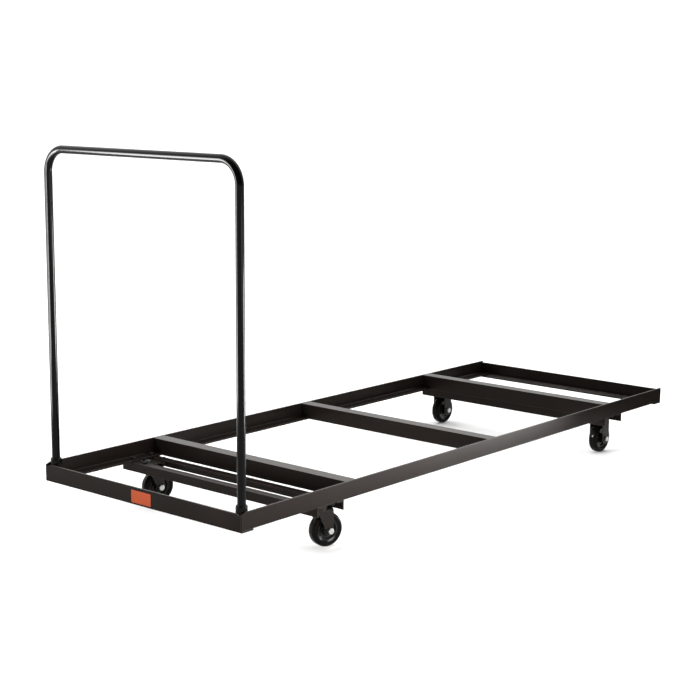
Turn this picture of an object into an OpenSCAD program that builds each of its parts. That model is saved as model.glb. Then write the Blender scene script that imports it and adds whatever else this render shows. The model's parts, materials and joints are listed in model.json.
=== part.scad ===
// Flat banquet table trolley: an angle-steel deck on two swivel and two rigid casters,
// with a bent tube push handle in sockets at one end.
// X runs along the deck from the handle end to the far end, Y to the pusher's left, Z up from the floor.

/* [Deck frame] */
// Length of the deck over its end rails
deck_l = 2490; // [2200:10:2700]
// Width of the deck over its side rails
deck_w = 914; // [760:2:1000]
// Height of an upright rail leg
rail_leg = 57; // [52:1:64]
// Width of a level rail flange
rail_flange = 50; // [48:1:56]
// Thickness of the rail steel
rail_t = 6; // [5:0.5:7]
// Length of the clip on the rail ends at the handle corners
clip_l = 18; // [8:1:24]
// Depth of that clip
clip_h = 7; // [3:1:10]

/* [Cross members and bolsters] */
// Distance between the faces of neighbouring cross members
cross_pitch = 782; // [700:2:810]
// Distance of the middle cross member's face from the deck's middle
cross_shift = 15; // [0:1:30]
// Gap between the handle-end bolsters and the first cross member
bolster_gap = 13; // [8:1:30]
// Gap between the far-end bolsters and the last cross member
far_gap = 9; // [4:1:20]
// Width of both legs of a caster bolster angle
bolster_leg = 32; // [28:1:34]
// Thickness of the bolster steel
bolster_t = 5; // [4:0.5:6]
// Distance of the caster bolts from the back of a bolster
bolster_gauge = 21; // [20:0.5:22]

/* [Push handle] */
// Height of the handle above the floor
handle_h = 1265; // [1000:5:1350]
// Outside diameter of the handle tube
tube_d = 27; // [25:0.5:32]
// Wall of the handle tube
tube_wall = 2; // [1.5:0.1:3]
// Radius of the handle bends at the tube's centre
bend_r = 75; // [50:5:120]
// Wall of the handle sockets
socket_wall = 5; // [4:0.5:6]
// Height of the sockets above the side rails
socket_rise = 16; // [8:1:30]

/* [Casters] */
// Diameter of the wheels
wheel_d = 114; // [105:1:120]
// Width of the tread
wheel_w = 35; // [32:1:40]
// Room between the top of a wheel and the top of its caster plate
head_room = 36; // [34:1:42]
// Distance of the kingpins and the rigid wheels from the deck's edge
caster_inset = 62; // [58:1:66]
// Distance of a swivel wheel's axle behind its kingpin
trail = 34; // [30:1:38]
// Turn of the swivel casters from straight trailing
swivel_turn = -17; // [-180:1:180]
// Thickness of the fork steel
fork_t = 4; // [3:0.5:5]
// Diameter of the axle bolts
axle_d = 12; // [10:1:12]
// Spacing of the plate bolts across the deck
bolt_gap = 60; // [56:1:64]

/* [Hidden] */
$fn = 64;
LEFT = 1;
RIGHT = -1;
HANDLE = "handle";
FAR = "far";

// Finishes
paint = [0.19, 0.17, 0.16];
caster_black = [0.12, 0.12, 0.12];
rubber = [0.14, 0.14, 0.14];
plastic = [0.08, 0.08, 0.09];
zinc = [0.80, 0.80, 0.78];
steel = [0.62, 0.62, 0.64];
bolt_black = [0.16, 0.16, 0.17];
bronze = [0.55, 0.42, 0.24];

// Clearances
slip_fit = 0.1;
running_fit = 0.05;
race_fit = 0.05;
bolt_hole_fit = 0.5;
weld_gap = 0.5;
swivel_play = 0.2;
hub_play = 1;
plate_gap = 3;
swing_gap = 2;
race_gap = 1.6;
race_seat = 1;

// Levels of the deck
plate_t = 4;
caster_h = wheel_d + head_room;
rail_z = caster_h + bolster_t;
deck_z = rail_z + rail_leg;
end_rail_z = rail_z - rail_t;

// Wheel, seen as radii and half widths about the axle
wheel_r = wheel_d / 2;
axle_z = wheel_r;
tread_shoulder = 10;
crown_r = 95;
rim_r = wheel_r - 18;
rim_w = wheel_w - 3;
rim_edge = 2.5;
recess_r = rim_r - 11;
web_w = wheel_w / 2 - 1;
boss_r = 18;
boss_proud = 8.5;
hub_w = wheel_w + 2 * boss_proud;
axle_r = axle_d / 2;
sleeve_r = axle_r + 2;
bush_r = sleeve_r + 2;

// Forks
fork_in = hub_w + 2 * hub_play;
fork_out = fork_in + 2 * fork_t;
fork_bend = 8;
fork_boss_r = 12.5;
fork_back = 10;
fork_knee = 11;
fork_heel = 13;
rigid_top = 23;
rigid_boss_r = 22;
axle_head_af = 19;
axle_head_h = 7.5;
axle_nut_h = 10;
axle_end = 2;

// Swivel head
ball_d = 8;
ball_count = 16;
race_r = 26;
race_in = 20;
race_out = 32;
skirt_in = race_out + 1.5;
skirt_out = skirt_in + 2.5;
head_drop = 15;
crown_z = caster_h - plate_t - head_drop;
ball_z = crown_z + 7;
crown_disc_r = 33;
skirt_z = crown_z + 2;
kingpin_r = 6;
kingpin_head_r = 10;
kingpin_head_h = 4;
kingpin_washer_r = 13;
kingpin_washer_t = 2;
kingpin_nut_af = 18;
kingpin_nut_h = 6;
kingpin_end = 0.5;
kingpin_washer_z = crown_z - fork_t - swivel_play - kingpin_washer_t;
kingpin_nut_z = kingpin_washer_z - kingpin_nut_h;

// Caster bolsters and plates
swing_r = norm([trail + fork_heel, fork_out / 2]);
bolster_spread = 2 * (swing_r + swing_gap + bolster_t);
plate_l = bolster_spread - 2 * (bolster_t + plate_gap);
plate_w = 90;
bolt_x = bolster_spread / 2 - bolster_gauge;
bolt_r = 5;
bolt_hole_r = bolt_r + bolt_hole_fit;
bolt_head_af = 16;
bolt_head_h = 6.4;
bolt_nut_h = 8;
bolt_washer_r = 10;
bolt_washer_t = 2;
bolt_end = 1;

// Places along and across the deck
cross_x = [for (i = [-1:1]) cross_shift + i * cross_pitch];
swivel_x = cross_x[0] - bolster_gap - bolster_spread / 2;
rigid_x = cross_x[2] + far_gap + bolster_spread / 2;
caster_y = deck_w / 2 - caster_inset;
leg_inside_y = deck_w / 2 - rail_t;

// Push handle and sockets
tube_r = tube_d / 2;
socket_r = tube_r + slip_fit + socket_wall;
socket_lip = 4.5;
socket_z = rail_z + rail_t;
socket_top = deck_z + socket_rise;
handle_x = -deck_l / 2 + rail_t + weld_gap + socket_r;
handle_y = leg_inside_y - weld_gap - socket_r;
handle_top = handle_h - tube_r;

// Helpers

// Point where a line from p touches the circle of radius r about c, to the left of c as seen from p
function touch_angle(p, c, r) = atan2(p[1] - c[1], p[0] - c[0]) + acos(r / norm(p - c));
function touch_point(p, c, r) = c + r * [cos(touch_angle(p, c, r)), sin(touch_angle(p, c, r))];

// Circumscribed diameter of a hexagon of the given width across flats
function hex_d(across) = across / cos(30);

// Draws an XZ outline as a slab of the given width, centred on Y
module slab_y(width) {
    translate([0, width / 2, 0])
        rotate([90, 0, 0])
            linear_extrude(width)
                children();
}

// Draws a YZ outline as a bar from x0 to x1
module bar_x(x0, x1) {
    translate([x0, 0, 0])
        rotate([90, 0, 90])
            linear_extrude(x1 - x0)
                children();
}

// Turns a shape made about Z so that its axis lies along Y
module along_y() {
    rotate([-90, 0, 0])
        children();
}

// Ring about Z
module ring(outer, inner, height) {
    difference() {
        cylinder(r = outer, h = height);
        translate([0, 0, -1])
            cylinder(r = inner, h = height + 2);
    }
}

// Hexagon prism about Z with a bore
module hex_nut(across, bore, height) {
    difference() {
        cylinder(d = hex_d(across), h = height, $fn = 6);
        translate([0, 0, -1])
            cylinder(r = bore, h = height + 2);
    }
}

// Moves a caster piece to its place: x along the deck, side across it
module at_caster(x, side) {
    translate([x, side * caster_y, 0])
        children();
}

// Moves a piece that turns with a swivel caster to its kingpin
module at_swivel(side) {
    at_caster(swivel_x, side)
        rotate([0, 0, swivel_turn])
            children();
}

// The four plate bolt places of one caster, about its own centre
module at_plate_bolts() {
    for (sx = [-1, 1], sy = [-1, 1])
        translate([sx * bolt_x, sy * bolt_gap / 2, 0])
            children();
}

// Deck frame

// Side rail: an angle along the deck, clipped at the top of its handle end and drilled for the outer bolts;
// its flange stops short of the end rails
module side_rail(side) {
    outer = deck_w / 2;
    end = deck_l / 2;
    mirror([0, side == LEFT ? 0 : 1, 0])
        difference() {
            union() {
                translate([0, outer - rail_t / 2, 0])
                    slab_y(rail_t)
                        polygon([
                            [-end, rail_z], [end, rail_z], [end, deck_z],
                            [-end + clip_l, deck_z], [-end, deck_z - clip_h]
                        ]);
                translate([-end + rail_t, outer - rail_flange, rail_z])
                    cube([deck_l - 2 * rail_t, rail_flange, rail_t]);
            }
            for (x = [swivel_x, rigid_x], sx = [-1, 1])
                translate([x + sx * bolt_x, caster_y + bolt_gap / 2, rail_z - 1])
                    cylinder(r = bolt_hole_r, h = rail_t + 2);
        }
}

// End rail at the far end: upright leg between the side rails, flange under them, clipped at both top corners
module end_rail(clip_depth) {
    top = end_rail_z + rail_leg;
    translate([deck_l / 2 - rail_t, 0, 0])
        bar_x(0, rail_t)
            polygon([
                [-leg_inside_y, end_rail_z], [leg_inside_y, end_rail_z],
                [leg_inside_y, top - clip_depth], [leg_inside_y - clip_l, top],
                [-leg_inside_y + clip_l, top], [-leg_inside_y, top - clip_depth]
            ]);
    translate([deck_l / 2 - rail_flange, -deck_w / 2, end_rail_z])
        cube([rail_flange, deck_w, rail_t]);
}

// Cross member: an inverted angle with its leg coped over the side rail flanges
module cross_member(index) {
    cope_y = deck_w / 2 - rail_flange;
    bar_x(cross_x[index], cross_x[index] + rail_t)
        polygon([
            [-cope_y, rail_z], [cope_y, rail_z], [cope_y, rail_z + rail_t],
            [leg_inside_y, rail_z + rail_t], [leg_inside_y, deck_z],
            [-leg_inside_y, deck_z], [-leg_inside_y, rail_z + rail_t], [-cope_y, rail_z + rail_t]
        ]);
    translate([cross_x[index], -leg_inside_y, deck_z - rail_t])
        cube([rail_flange, 2 * leg_inside_y, rail_t]);
}

// Bolster of a caster pair: an angle under the side rails, leg outwards, on the side of x that face picks
module bolster(x, face) {
    translate([x, 0, rail_z])
        mirror([face > 0 ? 1 : 0, 0, 0])
            difference() {
                translate([-bolster_spread / 2, 0, 0])
                    slab_y(deck_w)
                        polygon([
                            [0, 0], [bolster_leg, 0], [bolster_leg, -bolster_t],
                            [bolster_t, -bolster_t], [bolster_t, -bolster_leg], [0, -bolster_leg]
                        ]);
                for (side = [LEFT, RIGHT], sy = [-1, 1])
                    translate([-bolt_x, side * caster_y + sy * bolt_gap / 2, -bolster_t - 1])
                        cylinder(r = bolt_hole_r, h = bolster_t + 2);
            }
}

// Push handle

// Bent bar of the handle, of the given radius, down to the given level
module handle_bar(r, bottom) {
    for (side = [LEFT, RIGHT]) {
        translate([0, side * handle_y, bottom])
            cylinder(r = r, h = handle_top - bend_r - bottom);
        translate([0, side * (handle_y - bend_r), handle_top - bend_r])
            rotate([0, -90, 0])
                rotate([0, 0, side == LEFT ? 0 : -90])
                    rotate_extrude(angle = 90)
                        translate([bend_r, 0])
                            circle(r = r);
    }
    translate([0, -(handle_y - bend_r), handle_top])
        along_y()
            cylinder(r = r, h = 2 * (handle_y - bend_r));
}

module bent_tube() {
    translate([handle_x, 0, 0])
        difference() {
            handle_bar(tube_r, socket_z);
            handle_bar(tube_r - tube_wall, socket_z - 1);
        }
}

// Socket: a sleeve on the side rail's flange with a rounded lip
module handle_socket(side) {
    bore = tube_r + slip_fit;
    translate([handle_x, side * handle_y, 0])
        rotate_extrude() {
            translate([bore, socket_z])
                square([socket_wall, socket_top - socket_lip - socket_z]);
            translate([bore, socket_top - socket_lip])
                intersection() {
                    square([socket_wall, socket_lip]);
                    translate([socket_wall - socket_lip, 0])
                        circle(r = socket_lip);
                }
        }
}

// Casters

// Drilled caster plate under a pair of bolsters
module caster_plate(kingpin_bore) {
    difference() {
        translate([-plate_l / 2, -plate_w / 2, caster_h - plate_t])
            cube([plate_l, plate_w, plate_t]);
        translate([0, 0, caster_h - plate_t - 1]) {
            at_plate_bolts()
                cylinder(r = bolt_hole_r, h = plate_t + 2);
            if (kingpin_bore > 0)
                cylinder(r = kingpin_bore, h = plate_t + 2);
        }
    }
}

// Outline of a race ring between two levels, with the groove of the balls cut in it
module race_outline(inner, outer, low, high) {
    difference() {
        translate([inner, low])
            square([outer - inner, high - low]);
        translate([race_r, ball_z])
            circle(d = ball_d + 2 * race_fit);
    }
}

// Swivel plate: caster plate with the upper race and its skirt
module swivel_plate(side) {
    at_caster(swivel_x, side) {
        caster_plate(kingpin_r + slip_fit);
        rotate_extrude() {
            race_outline(race_in, skirt_out, ball_z + race_gap / 2, caster_h - plate_t + race_seat);
            translate([skirt_in, skirt_z])
                square([skirt_out - skirt_in, caster_h - plate_t - skirt_z]);
        }
    }
}

module swivel_balls(side) {
    at_caster(swivel_x, side)
        for (i = [0 : ball_count - 1])
            rotate([0, 0, i * 360 / ball_count])
                translate([race_r, 0, ball_z])
                    sphere(d = ball_d);
}

module kingpin(side) {
    at_caster(swivel_x, side) {
        translate([0, 0, caster_h])
            cylinder(r = kingpin_head_r, h = kingpin_head_h);
        translate([0, 0, kingpin_nut_z - kingpin_end])
            cylinder(r = kingpin_r, h = caster_h - kingpin_nut_z + kingpin_end);
    }
}

module kingpin_washer(side) {
    at_caster(swivel_x, side)
        translate([0, 0, kingpin_washer_z])
            ring(kingpin_washer_r, kingpin_r + slip_fit, kingpin_washer_t);
}

module kingpin_nut(side) {
    at_caster(swivel_x, side)
        translate([0, 0, kingpin_nut_z])
            hex_nut(kingpin_nut_af, kingpin_r, kingpin_nut_h);
}

// Block with rounded upper edges, its top at the level 0
module rounded_top(width, depth, r) {
    translate([-width / 2, -depth])
        square([width, depth - r]);
    translate([-width / 2 + r, -r])
        square([width - 2 * r, r]);
    for (s = [-1, 1])
        translate([s * (width / 2 - r), -r])
            circle(r = r);
}

// Bent fork under the given top level, from x0 to x1, cut to the side outline that is its child
module fork_shell(top, x0, x1) {
    intersection() {
        translate([0, 0, top])
            bar_x(x0 - 1, x1 + 1)
                difference() {
                    rounded_top(fork_out, top, fork_bend);
                    translate([0, -fork_t])
                        rounded_top(fork_in, top, fork_bend - fork_t);
                }
        slab_y(fork_out + 2)
            children();
    }
}

// Round ends of both fork legs, of radius r about the axle at x
module fork_eyes(x, r) {
    fork_shell(axle_z + r + fork_bend, x - r, x + r)
        translate([x, axle_z])
            circle(r = r);
}

// Bore through both fork legs
module axle_bore(x) {
    translate([x, -fork_out / 2 - 1, axle_z])
        along_y()
            cylinder(r = axle_r + slip_fit, h = fork_out + 2);
}

// Side outline of a swivel fork about its kingpin, its legs raked back to the axle
module swivel_leg_outline() {
    axle = [trail, axle_z];
    knee = [-fork_back, crown_z - fork_knee];
    polygon([
        [-fork_back, crown_z], [trail + fork_heel, crown_z], [trail + fork_boss_r, axle_z],
        axle, touch_point(knee, axle, fork_boss_r), knee
    ]);
}

// Swivel fork: bent fork, crown disc and the lower race
module swivel_fork(side) {
    at_swivel(side)
        difference() {
            union() {
                fork_shell(crown_z, -fork_back, trail + fork_boss_r)
                    swivel_leg_outline();
                fork_eyes(trail, fork_boss_r);
                translate([0, 0, crown_z - fork_t])
                    cylinder(r = crown_disc_r, h = fork_t);
                rotate_extrude()
                    race_outline(race_in, race_out, crown_z - race_seat, ball_z - race_gap / 2);
            }
            translate([0, 0, crown_z - fork_t - 1])
                cylinder(r = kingpin_r + running_fit, h = fork_t + 2);
            axle_bore(trail);
        }
}

module rigid_plate(side) {
    at_caster(rigid_x, side)
        caster_plate(0);
}

// Rigid fork: straight tapered legs under the plate
module rigid_fork(side) {
    top = caster_h - plate_t;
    at_caster(rigid_x, side)
        difference() {
            union() {
                fork_shell(top, -rigid_top, rigid_top)
                    polygon([
                        [-rigid_top, top], [rigid_top, top],
                        [rigid_boss_r, axle_z], [-rigid_boss_r, axle_z]
                    ]);
                fork_eyes(0, rigid_boss_r);
            }
            axle_bore(0);
        }
}

// Wheels and axles, made about the Y axis through the axle

// Moves a wheel piece to the axle of one caster
module at_axle(end, side) {
    if (end == HANDLE)
        at_swivel(side)
            translate([trail, 0, axle_z])
                along_y()
                    children();
    else
        at_caster(rigid_x, side)
            translate([0, 0, axle_z])
                along_y()
                    children();
}

// Crowned tread with round shoulders on the rim
module tyre(end, side) {
    half = wheel_w / 2;
    at_axle(end, side)
        rotate_extrude()
            intersection() {
                union() {
                    translate([rim_r, -half])
                        square([wheel_r - tread_shoulder - rim_r, wheel_w]);
                    translate([rim_r, -half + tread_shoulder])
                        square([wheel_r - rim_r, wheel_w - 2 * tread_shoulder]);
                    for (s = [-1, 1])
                        translate([wheel_r - tread_shoulder, s * (half - tread_shoulder)])
                            circle(r = tread_shoulder);
                }
                translate([wheel_r - crown_r, 0])
                    circle(r = crown_r, $fn = 128);
                translate([rim_r, -half])
                    square([wheel_r, wheel_w]);
            }
}

// Hub with a raised rim, a recessed web and a long boss
module hub(end, side) {
    at_axle(end, side)
        rotate_extrude()
            polygon([
                [bush_r, -hub_w / 2], [boss_r, -hub_w / 2], [boss_r, -web_w / 2],
                [recess_r, -web_w / 2], [recess_r + rim_edge, -rim_w / 2], [rim_r, -rim_w / 2],
                [rim_r, rim_w / 2], [recess_r + rim_edge, rim_w / 2], [recess_r, web_w / 2],
                [boss_r, web_w / 2], [boss_r, hub_w / 2], [bush_r, hub_w / 2]
            ]);
}

// Bearing bush pressed in the hub
module bush(end, side) {
    at_axle(end, side)
        translate([0, 0, -hub_w / 2])
            ring(bush_r, sleeve_r + running_fit, hub_w);
}

// Sleeve that the bolt clamps between the fork legs
module axle_sleeve(end, side) {
    at_axle(end, side)
        translate([0, 0, -fork_in / 2])
            ring(sleeve_r, axle_r + slip_fit, fork_in);
}

// Hex bolt through the fork, its head on the right-hand side
module axle_bolt(end, side) {
    at_axle(end, side) {
        translate([0, 0, -fork_out / 2 - axle_head_h])
            cylinder(d = hex_d(axle_head_af), h = axle_head_h, $fn = 6);
        translate([0, 0, -fork_out / 2])
            cylinder(r = axle_r, h = fork_out + axle_nut_h + axle_end);
    }
}

module axle_nut(end, side) {
    at_axle(end, side)
        translate([0, 0, fork_out / 2])
            hex_nut(axle_head_af, axle_r, axle_nut_h);
}

// Plate fasteners

// Runs its child at each of the plate bolts, with $seat as the level that its head rests on
module at_all_bolts() {
    for (x = [swivel_x, rigid_x], side = [LEFT, RIGHT], sx = [-1, 1], sy = [-1, 1])
        translate([x + sx * bolt_x, side * caster_y + sy * bolt_gap / 2, 0]) {
            $seat = sy == side ? rail_z + rail_t : rail_z;
            children();
        }
}

module bolt_set() {
    low = caster_h - plate_t - bolt_washer_t - bolt_nut_h - bolt_end;
    at_all_bolts() {
        translate([0, 0, $seat])
            cylinder(d = hex_d(bolt_head_af), h = bolt_head_h, $fn = 6);
        translate([0, 0, low])
            cylinder(r = bolt_r, h = $seat - low);
    }
}

module washer_set() {
    at_all_bolts()
        translate([0, 0, caster_h - plate_t - bolt_washer_t])
            ring(bolt_washer_r, bolt_hole_r, bolt_washer_t);
}

module nut_set() {
    at_all_bolts()
        translate([0, 0, caster_h - plate_t - bolt_washer_t - bolt_nut_h])
            hex_nut(bolt_head_af, bolt_r, bolt_nut_h);
}

// Sub-parts

module side_rail_left() { color(paint) side_rail(LEFT); }
module side_rail_right() { color(paint) side_rail(RIGHT); }
module end_rail_handle() { color(paint) mirror([1, 0, 0]) end_rail(clip_h); }
module end_rail_far() { color(paint) end_rail(0); }
module cross_member_front() { color(paint) cross_member(0); }
module cross_member_middle() { color(paint) cross_member(1); }
module cross_member_rear() { color(paint) cross_member(2); }
module bolster_handle_front() { color(paint) bolster(swivel_x, -1); }
module bolster_handle_rear() { color(paint) bolster(swivel_x, 1); }
module bolster_far_front() { color(paint) bolster(rigid_x, -1); }
module bolster_far_rear() { color(paint) bolster(rigid_x, 1); }
module push_handle() { color(paint) bent_tube(); }
module handle_socket_left() { color(paint) handle_socket(LEFT); }
module handle_socket_right() { color(paint) handle_socket(RIGHT); }
module swivel_plate_left() { color(caster_black) swivel_plate(LEFT); }
module swivel_plate_right() { color(caster_black) swivel_plate(RIGHT); }
module swivel_balls_left() { color(steel) swivel_balls(LEFT); }
module swivel_balls_right() { color(steel) swivel_balls(RIGHT); }
module kingpin_left() { color(steel) kingpin(LEFT); }
module kingpin_right() { color(steel) kingpin(RIGHT); }
module kingpin_washer_left() { color(steel) kingpin_washer(LEFT); }
module kingpin_washer_right() { color(steel) kingpin_washer(RIGHT); }
module kingpin_nut_left() { color(steel) kingpin_nut(LEFT); }
module kingpin_nut_right() { color(steel) kingpin_nut(RIGHT); }
module swivel_fork_left() { color(caster_black) swivel_fork(LEFT); }
module swivel_fork_right() { color(caster_black) swivel_fork(RIGHT); }
module rigid_plate_left() { color(caster_black) rigid_plate(LEFT); }
module rigid_plate_right() { color(caster_black) rigid_plate(RIGHT); }
module rigid_fork_left() { color(caster_black) rigid_fork(LEFT); }
module rigid_fork_right() { color(caster_black) rigid_fork(RIGHT); }
module tyre_handle_left() { color(rubber) tyre(HANDLE, LEFT); }
module tyre_handle_right() { color(rubber) tyre(HANDLE, RIGHT); }
module tyre_far_left() { color(rubber) tyre(FAR, LEFT); }
module tyre_far_right() { color(rubber) tyre(FAR, RIGHT); }
module hub_handle_left() { color(plastic) hub(HANDLE, LEFT); }
module hub_handle_right() { color(plastic) hub(HANDLE, RIGHT); }
module hub_far_left() { color(plastic) hub(FAR, LEFT); }
module hub_far_right() { color(plastic) hub(FAR, RIGHT); }
module bush_handle_left() { color(bronze) bush(HANDLE, LEFT); }
module bush_handle_right() { color(bronze) bush(HANDLE, RIGHT); }
module bush_far_left() { color(bronze) bush(FAR, LEFT); }
module bush_far_right() { color(bronze) bush(FAR, RIGHT); }
module axle_sleeve_handle_left() { color(steel) axle_sleeve(HANDLE, LEFT); }
module axle_sleeve_handle_right() { color(steel) axle_sleeve(HANDLE, RIGHT); }
module axle_sleeve_far_left() { color(steel) axle_sleeve(FAR, LEFT); }
module axle_sleeve_far_right() { color(steel) axle_sleeve(FAR, RIGHT); }
module axle_bolt_handle_left() { color(zinc) axle_bolt(HANDLE, LEFT); }
module axle_bolt_handle_right() { color(zinc) axle_bolt(HANDLE, RIGHT); }
module axle_bolt_far_left() { color(zinc) axle_bolt(FAR, LEFT); }
module axle_bolt_far_right() { color(zinc) axle_bolt(FAR, RIGHT); }
module axle_nut_handle_left() { color(zinc) axle_nut(HANDLE, LEFT); }
module axle_nut_handle_right() { color(zinc) axle_nut(HANDLE, RIGHT); }
module axle_nut_far_left() { color(zinc) axle_nut(FAR, LEFT); }
module axle_nut_far_right() { color(zinc) axle_nut(FAR, RIGHT); }
module plate_bolts() { color(bolt_black) bolt_set(); }
module plate_washers() { color(bolt_black) washer_set(); }
module plate_nuts() { color(bolt_black) nut_set(); }

side_rail_left();
side_rail_right();
end_rail_handle();
end_rail_far();
cross_member_front();
cross_member_middle();
cross_member_rear();
bolster_handle_front();
bolster_handle_rear();
bolster_far_front();
bolster_far_rear();
push_handle();
handle_socket_left();
handle_socket_right();
swivel_plate_left();
swivel_plate_right();
swivel_balls_left();
swivel_balls_right();
kingpin_left();
kingpin_right();
kingpin_washer_left();
kingpin_washer_right();
kingpin_nut_left();
kingpin_nut_right();
swivel_fork_left();
swivel_fork_right();
rigid_plate_left();
rigid_plate_right();
rigid_fork_left();
rigid_fork_right();
tyre_handle_left();
tyre_handle_right();
tyre_far_left();
tyre_far_right();
hub_handle_left();
hub_handle_right();
hub_far_left();
hub_far_right();
bush_handle_left();
bush_handle_right();
bush_far_left();
bush_far_right();
axle_sleeve_handle_left();
axle_sleeve_handle_right();
axle_sleeve_far_left();
axle_sleeve_far_right();
axle_bolt_handle_left();
axle_bolt_handle_right();
axle_bolt_far_left();
axle_bolt_far_right();
axle_nut_handle_left();
axle_nut_handle_right();
axle_nut_far_left();
axle_nut_far_right();
plate_bolts();
plate_washers();
plate_nuts();
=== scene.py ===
"""Finish of a flat banquet table trolley: an angle-steel deck on casters with a bent tube push handle."""

import json
import math
from typing import NamedTuple

import bmesh
import bpy
from bpy.props import FloatProperty, FloatVectorProperty, IntProperty, PointerProperty
from mathutils import Matrix, Vector


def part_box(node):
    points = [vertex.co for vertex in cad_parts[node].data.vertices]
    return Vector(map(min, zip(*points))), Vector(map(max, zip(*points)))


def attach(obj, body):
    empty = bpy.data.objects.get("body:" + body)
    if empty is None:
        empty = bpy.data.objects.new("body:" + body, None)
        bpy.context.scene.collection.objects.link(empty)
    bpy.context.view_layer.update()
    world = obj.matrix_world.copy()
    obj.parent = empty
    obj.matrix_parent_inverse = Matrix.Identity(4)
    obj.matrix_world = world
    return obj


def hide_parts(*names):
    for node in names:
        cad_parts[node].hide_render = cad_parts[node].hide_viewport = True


bl_info = {
    "name": "Banquet Table Trolley",
    "version": (1, 0, 0),
    "blender": (4, 5, 0),
    "location": "View3D > Sidebar > Trolley",
    "description": "Dresses the trolley's deck, push handle and casters and stands it on a pale floor",
    "category": "Object",
}

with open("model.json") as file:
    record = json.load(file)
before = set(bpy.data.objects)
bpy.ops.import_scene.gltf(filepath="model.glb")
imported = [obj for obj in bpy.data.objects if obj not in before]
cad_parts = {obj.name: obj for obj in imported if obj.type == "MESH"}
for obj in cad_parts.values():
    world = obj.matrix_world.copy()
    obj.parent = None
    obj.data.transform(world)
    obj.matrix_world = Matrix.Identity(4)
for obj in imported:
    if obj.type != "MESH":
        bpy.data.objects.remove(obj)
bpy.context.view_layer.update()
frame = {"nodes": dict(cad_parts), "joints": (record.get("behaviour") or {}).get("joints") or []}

SIDES = ("left", "right")
WHEELS = tuple("%s_%s" % (end, side) for end in ("handle", "far") for side in SIDES)
ROOT = "frame"
END_RAILS = ("end_rail_handle", "end_rail_far")
RAILS = ("side_rail_left", "side_rail_right", *END_RAILS)
CROSS_MEMBERS = ("cross_member_front", "cross_member_middle", "cross_member_rear")
BOLSTERS = ("bolster_handle_front", "bolster_handle_rear", "bolster_far_front", "bolster_far_rear")
JOINTS = {joint["name"]: joint for joint in frame["joints"]}
Z_AXIS = Vector((0, 0, 1))

# Lengths in metres
MERGE = 1e-5
SLEEVE_WALL = 0.002
SOCKET_CLEARANCE = 0.0001
WASHER_CLEARANCE = 0.0005
SOCKET_EASE = {"foot": 0.0003, "lip": 0.0043, "bore": 0.0005}
HUB_EASE = {"rim": 0.0003, "land": 0.0012, "web": 0.0026, "boss": 0.0014, "bore": 0.0005}
WASHER_EASE = {"bore": 0.0002, "rim": 0.0004}
HEX_CHAMFER = 0.0004
NUT_SINK = 0.0009
BOLT_CHAMFER = 0.0011
THREAD_PITCH = 0.00175

# Shares and counts
THREAD_DEPTH = 0.55
THREAD_TURNS = 5
WASHER_STEPS = 36
RING_STEPS = 40
ROUND_STEPS = 8
HEX_CROWN, HEX_TURNED = 0.95, 0.96
UPWARD = 0.5


# Settings


def setting(kind, **limits):
    """A short way to write one kind of setting that a user can change."""
    def made(name, description, default, **more):
        return kind(name=name, description=description, default=default, **{**limits, **more})
    return made


length = setting(FloatProperty, min=0.0, precision=5, unit="LENGTH")
angle = setting(FloatProperty, unit="ROTATION")
amount = setting(FloatProperty, min=0.0)
power = setting(FloatProperty, min=0.0, unit="POWER")
share = setting(FloatProperty, min=0.0, max=1.0, subtype="FACTOR")
whole = setting(IntProperty, min=3)
colour = setting(FloatVectorProperty, size=3, min=0.0, max=1.0, subtype="COLOR")


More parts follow.
